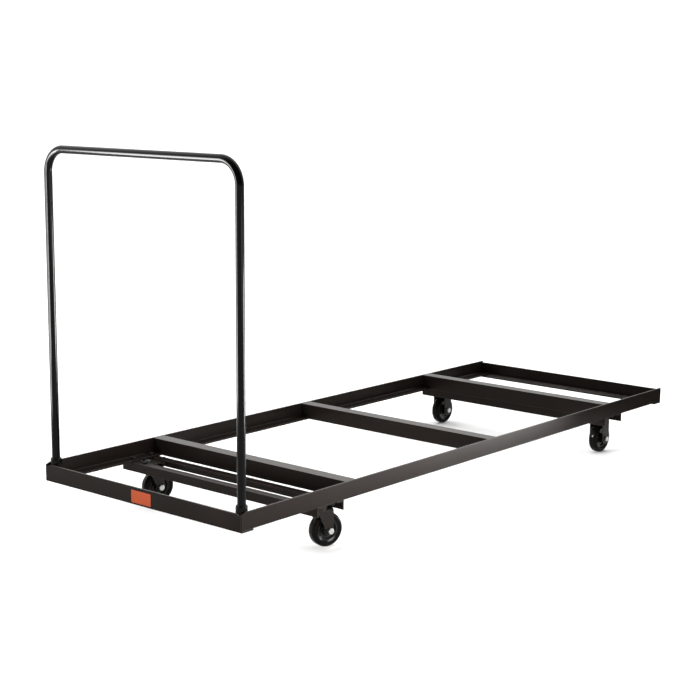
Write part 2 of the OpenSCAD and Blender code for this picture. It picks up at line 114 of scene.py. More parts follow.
class TrolleySizes(bpy.types.PropertyGroup):
    """Sizes of the edges, beads, turned pieces and sticker, in metres."""

    edge_round: length("Rail edge", "Radius on the outer edges of the rolled angles", 0.0009)
    root_round: length("Rail root", "Fillet in the inner corner of the rolled angles", 0.005)
    bolster_root: length("Bolster root", "Fillet in the inner corner of the thinner bolsters", 0.0035)
    sheet_round: length("Sheet edge", "Radius on the edges of the pressed caster steel", 0.0005)
    pin_round: length("Kingpin edge", "Radius on the edges of the kingpins, their washers and nuts", 0.0003)
    tube_steps: whole("Tube steps", "Sides of the handle tube", 56)
    bend_radius: length("Bend", "Radius of the handle bends at the tube's centre", 0.075)
    bend_steps: whole("Bend steps", "Steps round each bend of the handle", 24)
    bead_radius: length("Weld bead", "Radius of the weld beads", 0.0031)
    bead_pitch: length("Weld ripple", "Distance between the ripples of a weld bead", 0.0034)
    bead_depth: share("Weld ripple depth", "Share of its radius that a bead swells at each ripple", 0.16)
    tread_crown: length("Tread crown", "Radius of the tread across its width", 0.095)
    tread_shoulder: length("Tread shoulder", "Radius of the tyre's shoulders", 0.010)
    tyre_lip: length("Tyre lip", "Radial width of the tyre's sloped lip at the hub", 0.0030)
    lip_drop: length("Lip drop", "Depth of the tyre's sloped lip", 0.0012)
    boss_radius: length("Hub boss", "Radius of the hub's boss", 0.018)
    rim_slope: length("Hub slope", "Radial width of the slope from the hub's rim to its web", 0.0025)
    rim_land: length("Hub rim", "Radial width of the flat rim of a hub", 0.0085)
    rim_dish: length("Hub dish", "Radial width of the sloped outer part of a hub's rim", 0.0040)
    dish_drop: length("Dish drop", "Depth of the sloped part of a hub's rim", 0.0016)
    rim_drop: length("Hub drop", "How far a hub's rim lies inside the tyre's side", 0.0015)
    hub_web: length("Hub web", "Half the thickness of the hub's web", 0.00825)
    turn_steps: whole("Turned steps", "Sides of turned pieces", 128)
    plate_bolt: length("Plate bolt", "Radius of the plate bolts", 0.005)
    plate_head: length("Plate bolt head", "Height of the heads of the plate bolts", 0.0064)
    sticker_w: length("Sticker width", "Width of the sticker across the handle-end rail", 0.090)
    sticker_h: length("Sticker height", "Height of the sticker", 0.041)
    sticker_y: length("Sticker place", "Middle of the sticker across the deck", -0.0135, min=-1.0)
    sticker_z: length("Sticker rise", "Lower edge of the sticker above the rail's lower edge", 0.006)
    sticker_t: length("Sticker thickness", "Thickness of the sticker", 0.00018)
    sticker_corner: length("Sticker corner", "Radius of the sticker's corners", 0.0022)


class TrolleyFinishes(bpy.types.PropertyGroup):
    """Colours of the trolley's finishes."""

    coat: colour("Powder coat", "Dark brown-black powder coat of the deck", (0.0120, 0.0087, 0.0071))
    # Painted highlight: this lighter tone on rounded edges stands partly for thin coat and partly for a painted edge
    # highlight
    coat_edge: colour("Coat on edges", "Powder coat where it lies thin on an edge", (0.050, 0.040, 0.035))
    # Painted sheen: this pale tone on upward faces stands partly for table scuffs and partly for a painted
    # reflection of the bright surroundings
    rubbed: colour("Rubbed coat", "Powder coat scuffed pale by table tops", (0.175, 0.166, 0.159))
    gloss: colour("Gloss coat", "Glossy black coat of the push handle", (0.0013, 0.0010, 0.0009))
    caster: colour("Caster black", "Baked black enamel of the caster steel", (0.0130, 0.0108, 0.0094))
    tyre: colour("Tyre", "Black rubber of the tyres", (0.0027, 0.0023, 0.0020))
    hub: colour("Hub", "Glossy black plastic of the hubs", (0.0035, 0.0035, 0.0037))
    zinc: colour("Zinc", "Bright zinc on the axle bolts", (0.44, 0.44, 0.43))
    steel: colour("Steel", "Dulled steel of the swivel heads", (0.12, 0.12, 0.123))
    bronze: colour("Bronze", "Sintered bronze of the bushes", (0.42, 0.26, 0.11))
    oxide: colour("Black oxide", "Black oxide on the plate bolts", (0.010, 0.010, 0.0105))
    sticker: colour("Sticker", "Orange of the sticker", (0.45, 0.070, 0.016))
    floor: colour("Floor", "Pale floor", (0.93, 0.93, 0.925))


class StageSettings(bpy.types.PropertyGroup):
    """Camera, light, floor and flag."""

    camera_at: FloatVectorProperty(
        name="Camera", description="Place of the camera", default=(-4.41244, -3.56693, 1.50305), unit="LENGTH")
    camera_yaw: angle("Yaw", "Turn of the view from +Y towards +X", math.radians(49.6235))
    camera_pitch: angle("Pitch", "Fall of the view below level", math.radians(10.2108))
    camera_roll: angle("Roll", "Roll of the view", math.radians(0.3655))
    lens: amount("Lens", "Focal length on a 36 mm frame, in millimetres", 79.667, unit="CAMERA")
    floor_size: length("Floor size", "Side of the floor", 90.0)
    flag_height: length("Flag height", "Height of the dark flag beside the far end", 0.6)
    sky: amount("Sky", "Light of the white surroundings low behind the trolley", 2.4)
    dim: amount("Dim side", "Light of the surroundings on the camera's side", 0.12)
    overhead: amount("Overhead", "Light of the surroundings high behind it", 2.9)
    tall_power: power("Tall light", "Power of the tall soft light", 27.0)
    line_power: power("Line light", "Power of the light along the left upright", 2.0)
    side_power: power("Side light", "Power of the low side light", 1.8)
    front_power: power("Front light", "Power of the low front light", 6.0)
    edge_power: power("Edge light", "Power of the light beside the deck", 6.5)
    deck_power: power("Deck light", "Power of the light into the deck", 1.1)
    key_power: power("Key lights", "Power of each small key light", 0.1)


class SoftLight(NamedTuple):
    """A rectangular light: its power setting, place, aim, width and height in metres, and beam in degrees."""

    name: str
    power: str
    place: tuple
    aim: tuple
    size: tuple
    beam: float


LIGHTS = (
    SoftLight("tall_light", "tall_power", (-2.55, 1.30, 0.75), (-1.22, 0.0, 1.50), (0.9, 1.4), 54.0),
    SoftLight("line_light", "line_power", (-3.00, 0.70, 0.70), (-1.22, 0.43, 0.95), (0.45, 0.9), 20.0),
    SoftLight("side_light", "side_power", (1.10, -1.15, 0.17), (-0.16, -0.457, 0.18), (0.4, 0.26), 34.0),
    SoftLight("front_light", "front_power", (-0.90, -2.82, 0.72), (-0.80, -0.42, 0.04), (1.4, 0.55), 60.0),
    SoftLight("edge_light", "edge_power", (0.63, -1.68, 0.34), (-1.22, 0.0, 0.70), (0.95, 0.66), 34.0),
    SoftLight("deck_light", "deck_power", (-2.90, 1.70, 1.90), (-0.30, -0.05, 0.20), (0.5, 0.5), 20.0),
    SoftLight("near_key", "key_power", (-4.50, 0.09, 1.92), (-0.86, -0.40, 0.08), (0.1, 0.1), 3.0),
    SoftLight("far_key", "key_power", (-3.06, 1.56, 1.23), (0.82, -0.40, 0.07), (0.1, 0.1), 3.0),
)
FLAG_ENDS = ((1.16, -1.17), (1.75, -0.20))


# Node trees


class Wire:
    """An output socket; arithmetic on it adds Math nodes to its tree."""

    def __init__(self, graph, socket):
        self.graph = graph
        self.socket = socket

    def __add__(self, other):
        return self.graph.maths("ADD", self, other)

    def __sub__(self, other):
        return self.graph.maths("SUBTRACT", self, other)

    def __rsub__(self, other):
        return self.graph.maths("SUBTRACT", other, self)

    def __mul__(self, other):
        return self.graph.maths("MULTIPLY", self, other)

    def __truediv__(self, other):
        return self.graph.maths("DIVIDE", self, other)

    __radd__ = __add__
    __rmul__ = __mul__


class Graph:
    """A node tree under construction."""

    def __init__(self, tree):
        self.tree = tree

    def feed(self, socket, value):
        """Links a wire to a socket, or sets the socket's own value."""
        if isinstance(value, Wire):
            self.tree.links.new(value.socket, socket)
        else:
            socket.default_value = value

    def node(self, kind, inputs=None, out=0, **settings):
        """Adds a node with its settings and socket values, and returns one of its outputs."""
        made = self.tree.nodes.new(kind)
        for name, value in settings.items():
            setattr(made, name, value)
        for name, value in (inputs or {}).items():
            self.feed(made.inputs[name], value)
        return Wire(self, made.outputs[out])

    def maths(self, operation, *values):
        """A Math node on wires and numbers."""
        return self.node("ShaderNodeMath", dict(enumerate(values)), operation=operation)

    def band(self, value, low, high, start=0.0, stop=1.0):
        """From start below low to stop above high, smooth between."""
        ends = {"From Min": low, "From Max": high, "To Min": start, "To Max": stop}
        return self.node("ShaderNodeMapRange", {"Value": value, **ends}, interpolation_type="SMOOTHSTEP")


class Paint(Graph):
    """The shader tree of one finish."""

    def __init__(self, name):
        self.material = bpy.data.materials.new(name)
        self.material.use_nodes = True
        super().__init__(self.material.node_tree)
        self.shader = next(n for n in self.tree.nodes if n.bl_idname == "ShaderNodeBsdfPrincipled")
        self.where = self.node("ShaderNodeTexCoord", out="Object")

    def noise(self, scale, detail=2.0):
        """Noise from 0 to 1 with that many lumps to the metre."""
        return self.node("ShaderNodeTexNoise", {"Vector": self.where, "Scale": scale, "Detail": detail})

    def mix(self, factor, first, second):
        """Colour between two colours."""
        ends = [c if isinstance(c, Wire) else (*c, 1.0) for c in (first, second)]
        return self.node("ShaderNodeMix", {0: factor, 6: ends[0], 7: ends[1]}, 2, data_type="RGBA")

    def attribute(self, name):
        """A number that the piece's own mesh carries."""
        return self.node("ShaderNodeAttribute", out="Fac", attribute_name=name)

    def along(self):
        """Distance along the outline of a turned piece."""
        uv = self.node("ShaderNodeUVMap", uv_map="turned")
        return self.node("ShaderNodeSeparateXYZ", {0: uv}, 1)

    def bump(self, height, strength, distance):
        """Normal that a height in shares of distance gives."""
        return self.node("ShaderNodeBump", {"Strength": strength, "Distance": distance, "Height": height})

    def surface(self, base, roughness, normal=None, specular=0.5, metallic=0.0):
        """Feeds the shader and returns the material."""
        values = {"Base Color": base, "Roughness": roughness, "Specular IOR Level": specular, "Metallic": metallic}
        if normal:
            values["Normal"] = normal
        for name, value in values.items():
            self.feed(self.shader.inputs[name], value)
        return self.material


def shade(tone, factor):
    """A colour made lighter or darker."""
    return tuple(min(1.0, part * factor) for part in tone)


# Finishes


def powder_coat(name, tone, edge_and_highlight_tone, rubbed_tone):
    """Satin powder coat with orange peel and a slow drift in tone. Rounded edges are lightened, partly for thin coat
    and partly as a painted highlight. Upward faces are lightened, partly for scuffs and partly as a painted sheen.
    """
    paint = Paint(name)
    drift = paint.noise(2.6, 3.0)
    speck = paint.noise(950.0)
    peel = paint.noise(330.0)
    body = paint.mix(drift, shade(tone, 0.86), shade(tone, 1.16))
    flecked = paint.mix(paint.band(speck, 0.62, 0.78) * 0.35, body, shade(tone, 1.9))
    # Painted highlight: rounded edges lightened, partly thin coat, partly a painted edge highlight
    thin_and_highlight = paint.attribute("edge") * (0.35 + 0.65 * paint.band(paint.noise(24.0, 3.0), 0.35, 0.7))
    grit = paint.noise(150.0, 9.0) + 0.35 * paint.noise(9.0, 4.0)
    # Painted sheen: upward faces lightened in speckles, partly table scuffs, partly a painted reflection; the
    # roughness and bump are real
    top = paint.attribute("top")
    scuff = top * (0.02 + 0.52 * paint.band(grit, 0.44, 0.98))
    base = paint.mix(scuff, paint.mix(thin_and_highlight, flecked, edge_and_highlight_tone), rubbed_tone)
    roughness = 0.22 + 0.08 * drift + 0.06 * speck + 0.5 * scuff
    normal = paint.bump(0.10 * (peel + 0.25 * speck) + 2.5 * top * grit, 1.0, 0.0004)
    return paint.surface(base, roughness, normal, specular=0.045)


def gloss_coat(name, tone):
    """Glossy black coat of the bent tube, with a slow drift in shine and faint drawing marks."""
    paint = Paint(name)
    drift = paint.noise(5.0, 3.0)
    peel = paint.noise(260.0)
    marks = paint.band(paint.noise(420.0), 0.60, 0.74)
    base = paint.mix(drift, shade(tone, 0.8), shade(tone, 1.3))
    roughness = 0.11 + 0.06 * drift + 0.08 * marks
    return paint.surface(base, roughness, paint.bump(peel, 0.06, 0.0003), specular=0.09)


def enamel(name, tone):
    """Baked black enamel on pressed steel, smoother than the powder coat."""
    paint = Paint(name)
    drift = paint.noise(14.0, 3.0)
    speck = paint.noise(1400.0, 1.0)
    scuff = paint.band(paint.noise(60.0, 4.0), 0.60, 0.74)
    body = paint.mix(drift, shade(tone, 0.8), shade(tone, 1.25))
    # Painted highlight: rounded edges lightened, partly thin enamel, partly a painted edge highlight
    base = paint.mix(paint.attribute("edge") * 0.7, body, shade(tone, 2.4))
    roughness = 0.20 + 0.08 * drift + 0.12 * scuff
    return paint.surface(base, roughness, paint.bump(paint.noise(210.0) + 0.3 * speck, 0.08, 0.0003), specular=0.1)


def rubber(name, tone):
    """Smooth black rubber with faint turning rings and a little bloom."""
    paint = Paint(name)
    rings = paint.maths("SINE", paint.along() * (2 * math.pi / 0.0016))
    bloom = paint.noise(38.0, 4.0)
    grain = paint.noise(1600.0)
    base = paint.mix(paint.band(bloom, 0.4, 0.8), tone, shade(tone, 1.9))
    roughness = 0.11 + 0.10 * bloom + 0.05 * grain
    return paint.surface(base, roughness, paint.bump(grain + 0.25 * rings, 0.10, 0.0002), specular=0.045)


def gloss_plastic(name, tone):
    """Glossy moulded plastic with faint flow and fine scuffs."""
    paint = Paint(name)
    flow = paint.noise(45.0, 3.0)
    scuff = paint.band(paint.noise(520.0, 3.0), 0.58, 0.72)
    base = paint.mix(flow, tone, shade(tone, 1.7))
    roughness = 0.10 + 0.08 * flow + 0.08 * scuff
    return paint.surface(base, roughness, paint.bump(flow, 0.10, 0.0004), specular=0.16)


def bare_metal(name, tone, roughness, spread, lumps):
    """Plated or plain metal with a fine grain and blotches in its shine."""
    paint = Paint(name)
    blotch = paint.noise(lumps, 3.0)
    grain = paint.noise(2200.0)
    base = paint.mix(blotch, shade(tone, 0.82), shade(tone, 1.08))
    shine = roughness + spread * blotch + 0.06 * grain
    return paint.surface(base, shine, paint.bump(grain, 0.12, 0.0001), metallic=1.0)


def black_oxide(name, tone):
    """Black oxide over machined steel."""
    paint = Paint(name)
    blotch = paint.noise(160.0, 3.0)
    base = paint.mix(blotch, shade(tone, 0.7), shade(tone, 1.7))
    return paint.surface(base, 0.55 + 0.2 * blotch, paint.bump(paint.noise(1800.0), 0.12, 0.0001), specular=0.12)


def vinyl(name, tone):
    """Plain vinyl with a faint mottle and a few soft creases."""
    paint = Paint(name)
    mottle = paint.noise(90.0, 4.0)
    crease = paint.noise(26.0)
    base = paint.mix(mottle, shade(tone, 0.88), shade(tone, 1.06))
    return paint.surface(base, 0.34 + 0.14 * mottle, paint.bump(crease + 0.2 * mottle, 0.25, 0.0006), specular=0.12)


def matt_sheet(name, tone):
    """Matt floor or flag of an almost even tone."""
    paint = Paint(name)
    base = paint.mix(paint.noise(0.8), shade(tone, 0.99), shade(tone, 1.01))
    return paint.surface(base, 0.86 + 0.06 * paint.noise(3.0), specular=0.1)


# What makes each finish, then its colour settings and its own numbers
FINISHES = {
    "powder_coat": (powder_coat, "coat", "coat_edge", "rubbed"),
    "gloss_coat": (gloss_coat, "gloss"),
    "caster_enamel": (enamel, "caster"),
    "tyre_rubber": (rubber, "tyre"),
    "hub_plastic": (gloss_plastic, "hub"),
    "bright_zinc": (bare_metal, "zinc", 0.16, 0.16, 210.0),
    "plain_steel": (bare_metal, "steel", 0.28, 0.2, 120.0),
    "sintered_bronze": (bare_metal, "bronze", 0.38, 0.15, 700.0),
    "black_oxide": (black_oxide, "oxide"),
    "sticker_vinyl": (vinyl, "sticker"),
    "pale_floor": (matt_sheet, "floor"),
    "dark_flag": (matt_sheet, "oxide"),
}


def finish(name):
    """The material of that name, made once."""
    made = bpy.data.materials.get(name)
    if made:
        return made
    tones = bpy.context.scene.trolley_finishes
    maker, *values = FINISHES[name]
    return maker(name, *(getattr(tones, v) if isinstance(v, str) else v for v in values))


# Meshes


def linked(name, data):
    """A new object in the scene."""
    made = bpy.data.objects.new(name, data)
    bpy.context.scene.collection.objects.link(made)
    return made


def put(mesh, material, body=ROOT, replaces=()):
    """Links a finished mesh as a piece of its name that rides on a body and stands for CAD nodes."""
    if not mesh.materials:
        mesh.materials.append(finish(material))
    piece = linked(mesh.name, mesh)
    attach(piece, body)
    if replaces:
        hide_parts(*replaces)
    return piece


def shaded(mesh, degrees=35.0):
    """Smooth shading that keeps the edges sharper than the given angle."""
    mesh.polygons.foreach_set("use_smooth", [True] * len(mesh.polygons))
    mesh.set_sharp_from_angle(angle=math.radians(degrees))
    return mesh


def baked(name, bm):
    """Mesh from a bmesh, which is freed."""
    mesh = bpy.data.meshes.new(name)
    bm.to_mesh(mesh)
    bm.free()
    return mesh


def mesh_of(name, bm):
    """Smooth mesh from a bmesh, with its faces pointing outwards."""
    bmesh.ops.recalc_face_normals(bm, faces=bm.faces)
    return shaded(baked(name, bm))


def merged(node):
    """A bmesh copy of a CAD node with its loose triangles joined into flat faces."""
    bm = bmesh.new()
    bm.from_mesh(frame["nodes"][node].data)
    bmesh.ops.remove_doubles(bm, verts=bm.verts, dist=MERGE)
    bmesh.ops.dissolve_limit(bm, angle_limit=math.radians(0.5), verts=bm.verts, edges=bm.edges)
    return bm


def sharp_edges(bm, convex, degrees=40.0):
    """Edges between two faces that meet at more than the angle, either outer or inner corners."""
    limit = math.radians(degrees)
    return [e for e in bm.edges if e.is_manifold and e.calc_face_angle() > limit and e.is_convex == convex]


def dress(node, prefix, edge, material, slot, body=ROOT, root=0.0):
    """Replaces a CAD node by a copy with filleted inner corners and rounded outer edges, named with the prefix.

    Its faces are marked where rounded edges are lightened, partly for thin coat and partly as a painted highlight,
    and where upward faces are lightened, partly for table scuffs and partly as a painted sheen: on the tops of the
    rails and cross members and on the ledges of the end rails.
    """
    bm = merged(node)
    # Face layers for the painted edge highlight and the painted sheen on upward faces, each partly real wear
    thin_and_highlight = bm.faces.layers.float.new("edge")
    worn_and_sheen = bm.faces.layers.float.new("top")
    evenly = {"offset_type": "OFFSET", "profile": 0.5, "affect": "EDGES", "clamp_overlap": False}
    if root:
        bmesh.ops.bevel(bm, geom=sharp_edges(bm, False), offset=root, segments=5, **evenly)
    rounded = bmesh.ops.bevel(bm, geom=sharp_edges(bm, True), offset=edge, segments=2, **evenly)
    for face in rounded["faces"]:
        face[thin_and_highlight] = 1.0
    # Upward faces take the painted sheen, which also stands for table scuffs
    if node in RAILS + CROSS_MEMBERS:
        top = max(vertex.co.z for vertex in bm.verts) - edge
        for face in bm.faces:
            if face.normal.z > UPWARD and (node in END_RAILS or face.calc_center_median().z > top):
                face[worn_and_sheen] = 1.0
    piece = put(shaded(baked(prefix + node, bm)), material, body, [node])
    weighted = piece.modifiers.new("weighted normals", "WEIGHTED_NORMAL")
    weighted.keep_sharp = True


def carry_over(node, material):
    """Gives a CAD node that stays as it is a finish of its own."""
    mesh = frame["nodes"][node].data
    mesh.materials.clear()
    mesh.materials.append(finish(material))


def solids_of(node):
    """Lowest and highest corners of each separate solid in a CAD node."""
    bm = merged(node)
    left = set(bm.verts)
    boxes = []
    while left:
        found = [left.pop()]
        for vert in found:
            for edge in vert.link_edges:
                other = edge.other_vert(vert)
                if other in left:
                    left.remove(other)
                    found.append(other)
        spans = [(min(c), max(c)) for c in zip(*(v.co for v in found))]
        boxes.append((Vector(s[0] for s in spans), Vector(s[1] for s in spans)))
    bm.free()
    return sorted(boxes, key=lambda b: tuple(b[0]))


def axle_of(wheel):
    """Middle and direction of one wheel's axle, from its joint."""
    joint = JOINTS["wheel_spin_" + wheel]
    return Vector(joint["pos_m"]), Vector(joint["axis"]).normalized()


def about_axle(kind, wheel):
    """Largest radius about a wheel's axle of one of the CAD nodes on it, and that node's two ends along it."""
    origin, axis = axle_of(wheel)
    offsets = [v.co - origin for v in frame["nodes"][kind + "_" + wheel].data.vertices]
    along = [o.dot(axis) for o in offsets]
    radius = max((o - axis * a).length for o, a in zip(offsets, along))
    return radius, min(along), max(along)


def round_of(low, high):
    """Middle (x, y) and radius of an upright round piece, from the corners of its box."""
    return ((low.x + high.x) / 2, (low.y + high.y) / 2), (high.x - low.x) / 2


def arc(centre, radius, start, stop, steps):
    """Points on an arc, angles in degrees."""
    turns = [math.radians(start + (stop - start) * i / steps) for i in range(steps + 1)]
    return [(centre[0] + radius * math.cos(t), centre[1] + radius * math.sin(t)) for t in turns]


def filleted(corners, steps=5):
    """Closed outline through (x, y, radius) corners, each rounded by its radius."""
    points = []
    for i, (x, y, radius) in enumerate(corners):
        here = Vector((x, y))
        if not radius:
            points.append((x, y))
            continue
        before = (Vector(corners[i - 1][:2]) - here).normalized()
        after = (Vector(corners[(i + 1) % len(corners)][:2]) - here).normalized()
        half = before.angle(after) / 2
        reach = radius / math.tan(half)
        middle = here + (before + after).normalized() * (radius / math.sin(half))
        first = here + before * reach - middle
        turn = -(first.angle_signed(here + after * reach - middle))
        for k in range(steps + 1):
            swung = Matrix.Rotation(turn * k / steps, 2) @ first
            points.append(tuple(middle + swung))
    return points


def turned(name, outline, origin, axis, steps):
    """Solid made by turning a closed (radius, along) outline about an axis, with its outline length as a UV."""
    bm = bmesh.new()
    uv = bm.loops.layers.uv.new("turned")
    across = axis.orthogonal().normalized()
    lengths = [0.0]
    for a, b in zip(outline, outline[1:] + outline[:1]):
        lengths.append(lengths[-1] + math.dist(a, b))
    rings = []
    for i in range(steps):
        spoke = Matrix.Rotation(2 * math.pi * i / steps, 3, axis) @ across
        rings.append([bm.verts.new(origin + spoke * r + axis * a) for r, a in outline])
    count = len(outline)
    for i in range(steps):
        near, far = rings[i], rings[(i + 1) % steps]
        for k in range(count):
            nxt = (k + 1) % count
            face = bm.faces.new((near[k], near[nxt], far[nxt], far[k]))
            spots = ((i, k), (i, k + 1), (i + 1, k + 1), (i + 1, k))
            for loop, (turn, stop) in zip(face.loops, spots):
                loop[uv].uv = (turn / steps, lengths[stop])
    return mesh_of(name, bm)


def hex_rings(across, height, steps=6):
    """Rings of a hexagon head from its seat to its chamfered top, as (x, y, z) points about +Z."""
    flat = across / 2
    seat, rim, crown = [], [], []
    for i in range(6 * steps):
        turn = 2 * math.pi * i / (6 * steps)
        lean = (turn + math.pi / 6) % (math.pi / 3) - math.pi / 6
        radius = flat / math.cos(lean)
        x, y = math.cos(turn), math.sin(turn)
        drop = max(0.0, radius - flat * HEX_TURNED) * math.tan(math.pi / 6)
        seat.append((x * radius, y * radius, 0.0))
        rim.append((x * radius, y * radius, height - HEX_CHAMFER - drop))
        crown.append((x * flat * HEX_CROWN, y * flat * HEX_CROWN, height))
    return [seat, rim, crown]


def round_ring(radius, height, count):
    """One ring of points about +Z."""
    turns = [2 * math.pi * i / count for i in range(count)]
    return [(radius * math.cos(t), radius * math.sin(t), height) for t in turns]


def skinned(name, rings, close_loop=False):
    """Solid over rings of equal counts, capped at both ends or joined into a tube with a bore."""
    bm = bmesh.new()
    made = [[bm.verts.new(p) for p in ring] for ring in rings]
    pairs = list(zip(made, made[1:] + made[:1])) if close_loop else list(zip(made, made[1:]))
    for low, high in pairs:
        for k in range(len(low)):
            nxt = (k + 1) % len(low)
            bm.faces.new((low[k], low[nxt], high[nxt], high[k]))
    if not close_loop:
        bm.faces.new(made[0][::-1])
        bm.faces.new(made[-1])
    return mesh_of(name, bm)


def bolt_mesh(name, across, head, shank, reach):
    """Hex bolt about +Z: seat of its head at 0, its shank down to -reach with a chamfered, threaded end."""
    rings = hex_rings(across, head)[::-1]
    root = shank - THREAD_DEPTH * THREAD_PITCH
    below = [(shank, 0.0), (shank, -reach + (THREAD_TURNS + 2) * THREAD_PITCH)]
    for i in range(THREAD_TURNS):
        level = -reach + (THREAD_TURNS + 1.5 - i) * THREAD_PITCH
        below += [(root, level), (shank, level - THREAD_PITCH / 2)]
    below += [(shank, -reach + BOLT_CHAMFER), (shank - BOLT_CHAMFER, -reach)]
    rings += [round_ring(r, z, len(rings[0])) for r, z in below]
    return skinned(name, rings)


def nut_mesh(name, across, height, bore):
    """Hex nut about +Z from 0 to its height, chamfered on both faces, with a countersunk bore."""
    seat, rim, crown = hex_rings(across, height)
    rim_low, crown_low = ([(x, y, height - z) for x, y, z in ring] for ring in (rim, crown))
    sunk = [(bore + NUT_SINK, height), (bore, height - NUT_SINK), (bore, NUT_SINK), (bore + NUT_SINK, 0.0)]
    bores = [round_ring(r, z, len(seat)) for r, z in sunk]
    return skinned(name, [crown_low, rim_low, rim, crown, *bores], close_loop=True)


def placed(mesh, origin, axis):
    """Turns a mesh made about +Z to an axis and moves it to its place."""
    turn = Z_AXIS.rotation_difference(axis).to_matrix().to_4x4()
    mesh.transform(Matrix.Translation(origin) @ turn)
    return mesh


# Geometry Nodes


class Grower(Graph):
    """A Geometry Nodes tree with named inputs, ending in Realize Instances and Set Material."""

    def __init__(self, name, **inputs):
        super().__init__(bpy.data.node_groups.new(name, "GeometryNodeTree"))
        self.tree.interface.new_socket("Geometry", in_out="OUTPUT", socket_type="NodeSocketGeometry")
        for label, kind in {"Geometry": "Geometry", **inputs, "Material": "Material"}.items():
            self.tree.interface.new_socket(label, in_out="INPUT", socket_type="NodeSocket" + kind)
        self.group = self.tree.nodes.new("NodeGroupInput")

    def given(self, label):
        """One of the tree's inputs."""
        return Wire(self, self.group.outputs[label])

    def path(self):
        """The seed's edges as curves."""
        return self.node("GeometryNodeMeshToCurve", {"Mesh": self.given("Geometry")})

    def swept(self, curve, sides, **more):
        """Capped round bar of the tree's radius along a curve."""
        circle = self.node("GeometryNodeCurvePrimitiveCircle", {"Resolution": sides, "Radius": self.given("Radius")})
        return self.node("GeometryNodeCurveToMesh", {
            "Curve": curve, "Profile Curve": circle, "Fill Caps": True, **more})

    def finish(self, geometry):
        """Ends the tree."""
        real = self.node("GeometryNodeRealizeInstances", {"Geometry": geometry})
        painted = self.node("GeometryNodeSetMaterial", {"Geometry": real, "Material": self.given("Material")})
        ends = self.tree.nodes.new("NodeGroupOutput")
        self.feed(ends.inputs[0], painted)
        return self.tree


def grown(name, seed_mesh, tree, **values):
    """Plain mesh that a tree grows from a mesh of points or edges."""
    seed = linked(name + "_seed", seed_mesh)
    modifier = seed.modifiers.new("grow", "NODES")
    modifier.node_group = tree
    sockets = {item.name: item.identifier for item in tree.interface.items_tree if item.in_out == "INPUT"}
    for label, value in values.items():
        modifier[sockets[label]] = value
    evaluated = seed.evaluated_get(bpy.context.evaluated_depsgraph_get())
    mesh = bpy.data.meshes.new_from_object(evaluated)
    bpy.data.objects.remove(seed)
    mesh.name = name
    return mesh


def lines(name, paths):
    """Mesh of open or closed paths; a path whose ends meet is closed."""
    bm = bmesh.new()
    for path in paths:
        closed = (Vector(path[0]) - Vector(path[-1])).length < MERGE
        verts = [bm.verts.new(p) for p in (path[:-1] if closed else path)]
        for a, b in zip(verts, verts[1:]):
            bm.edges.new((a, b))
        if closed:
            bm.edges.new((verts[-1], verts[0]))
    return baked(name, bm)


def tube_tree():
    """Bent tube: a path with filleted corners, swept by a circle."""
    g = Grower("bent_tube", Radius="Float", Bend="Float", Sides="Int", Steps="Int")
    bent = g.node("GeometryNodeFilletCurve", {
        "Curve": g.path(), "Count": g.given("Steps"), "Radius": g.given("Bend"), "Limit Radius": True}, mode="POLY")
    return g.finish(g.swept(bent, g.given("Sides")))


def bead_tree():
    """Weld bead: a round bead along each path that swells at every ripple, uneven by a little noise."""
    g = Grower("weld_bead", Radius="Float", Pitch="Float", Depth="Float")
    rings, sides = 5, 10
    lumps, drift, plain, uneven = 90.0, 3.0, 0.9, 0.3
    step = g.given("Pitch") / rings
    fine = g.node("GeometryNodeResampleCurve", {"Curve": g.path(), "Length": step}, mode="LENGTH")
    gone = g.node("GeometryNodeSplineParameter", out="Length")
    wobble = g.node("ShaderNodeTexNoise", {"Scale": lumps, "Detail": 1.0})
    phase = gone / g.given("Pitch") * (2 * math.pi) + wobble * drift
    swell = plain + g.given("Depth") * g.maths("SINE", phase) + uneven * (wobble - 0.5)
    return g.finish(g.swept(fine, sides, Scale=swell))


def scatter_tree():
    """Copies of one object at every point, raised by the points' own lift."""
    g = Grower("fastener_row", Fastener="Object")
    lift = g.node("GeometryNodeInputNamedAttribute", {"Name": "lift"}, data_type="FLOAT")
    up = g.node("ShaderNodeCombineXYZ", {"Z": lift})
    raised = g.node("GeometryNodeSetPosition", {"Geometry": g.given("Geometry"), "Offset": up})
    source = g.node("GeometryNodeObjectInfo", {"Object": g.given("Fastener")}, "Geometry")
    copies = g.node("GeometryNodeInstanceOnPoints", {"Points": raised, "Instance": source})
    return g.finish(copies)


# Pieces


class TROLLEY_OT_deck(bpy.types.Operator):
    """Rolled edges and root fillets on the rails, cross members and bolsters"""

    bl_idname = "trolley.deck"
    bl_label = "Deck frame"

    def execute(self, context):
        sizes = context.scene.trolley_sizes
        for node in RAILS + CROSS_MEMBERS + BOLSTERS:
            root = sizes.bolster_root if node in BOLSTERS else sizes.root_round
            dress(node, "rolled_", sizes.edge_round, "powder_coat", "frame_paint", root=root)
        return {"FINISHED"}


